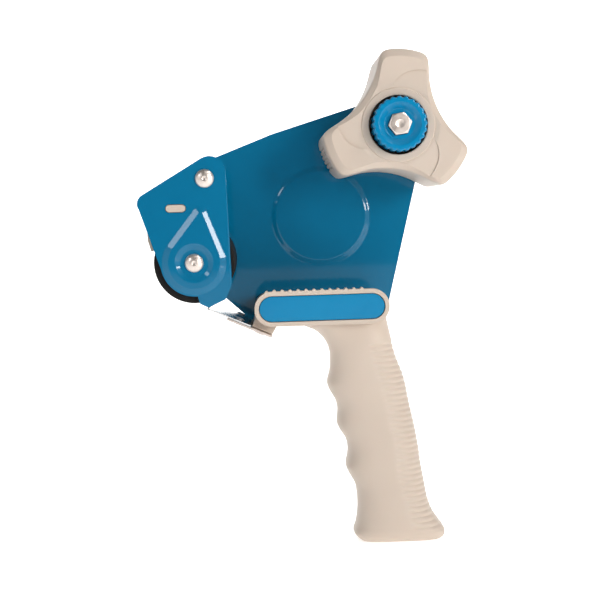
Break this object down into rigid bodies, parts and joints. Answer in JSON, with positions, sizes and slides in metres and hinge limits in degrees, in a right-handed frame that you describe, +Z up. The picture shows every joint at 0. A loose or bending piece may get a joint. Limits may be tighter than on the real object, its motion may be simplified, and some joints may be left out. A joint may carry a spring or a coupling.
{
  "type": "tape dispenser",
  "caption": "Hand-held packing tape dispenser with a pistol grip, braked three-lobed hub, rubber roller, spring flap and serrated cutter.",
  "frame": {"origin": "centre of the grip's flat base", "axes": "+Z up along the grip, -X towards the cutter and roller, +Y from the open near side to the frame plate"},
  "size_m": [0.1643, 0.069, 0.2504],
  "materials": {
    "blue_paint": "semi-gloss powder coat",
    "beige_plastic": "fine satin moulded",
    "blue_plastic": "satin moulded",
    "rubber": "matt ground rubber",
    "plated_steel": "zinc plated",
    "blade_steel": "ground spring steel",
    "spring_steel": "drawn wire",
    "grey_plastic": "moulded",
    "fibre": "pressed friction fibre",
    "brass": "turned"
  },
  "bodies": {
    "frame": {"frame_plate": "blue_paint", "near_cheek": "blue_paint", "upper_rivet": "plated_steel", "roller_axle": "plated_steel", "upper_spacer": "plated_steel", "roller_washer_near": "plated_steel", "roller_washer_far": "plated_steel", "guide_bar": "beige_plastic", "flap_pin": "plated_steel", "cutter_blade": "blade_steel", "blade_carrier": "plated_steel", "blade_rivet_1": "plated_steel", "blade_rivet_2": "plated_steel", "carrier_screw_1": "plated_steel", "carrier_screw_2": "plated_steel", "handle_near_half": "beige_plastic", "handle_far_half": "beige_plastic", "oval_panel": "blue_plastic", "block_screw_1": "plated_steel", "block_screw_2": "plated_steel", "block_screw_3": "plated_steel", "grip_screw_1": "plated_steel", "grip_screw_2": "plated_steel", "friction_disc": "fibre", "lock_washer": "plated_steel", "bolt_nut": "plated_steel"},
    "hub": {"hub_body": "beige_plastic", "hub_bush": "brass"},
    "roller": {"roller_core": "grey_plastic", "roller_sleeve": "rubber"},
    "flap": {"tape_flap": "beige_plastic", "flap_spring": "spring_steel"},
    "pressure": {"pressure_washer": "plated_steel", "brake_spring": "spring_steel"},
    "knob": {"brake_knob": "blue_plastic", "hub_bolt": "plated_steel"}
  },
  "joints": [
    {"name": "hub_spin", "type": "hinge", "parent": "frame", "child": "hub", "pos_m": [0.0012, 0, 0.213], "axis": [0, 1, 0], "continuous": true},
    {"name": "roller_spin", "type": "hinge", "parent": "frame", "child": "roller", "pos_m": [-0.101, 0, 0.1485], "axis": [0, 1, 0], "continuous": true},
    {"name": "flap_pivot", "type": "hinge", "parent": "frame", "child": "flap", "pos_m": [-0.116, 0, 0.1735], "axis": [0, 1, 0], "range_deg": [0, 45], "stiffness_Nm_per_rad": 0.02, "springref_deg": -17.19, "deforming": ["flap_spring"]},
    {"name": "knob_travel", "type": "slide", "parent": "frame", "child": "pressure", "axis": [0, 1, 0], "range_m": [-0.0015, 0.0005], "deforming": ["brake_spring"]},
    {"name": "knob_turn", "type": "hinge", "parent": "pressure", "child": "knob", "pos_m": [0.0012, 0, 0.213], "axis": [0, 1, 0], "range_deg": [-543, 183]}
  ],
  "couplings": [
    {"joint": "knob_turn", "follows": "knob_travel", "rad_per_m": 6283.2}
  ]
}
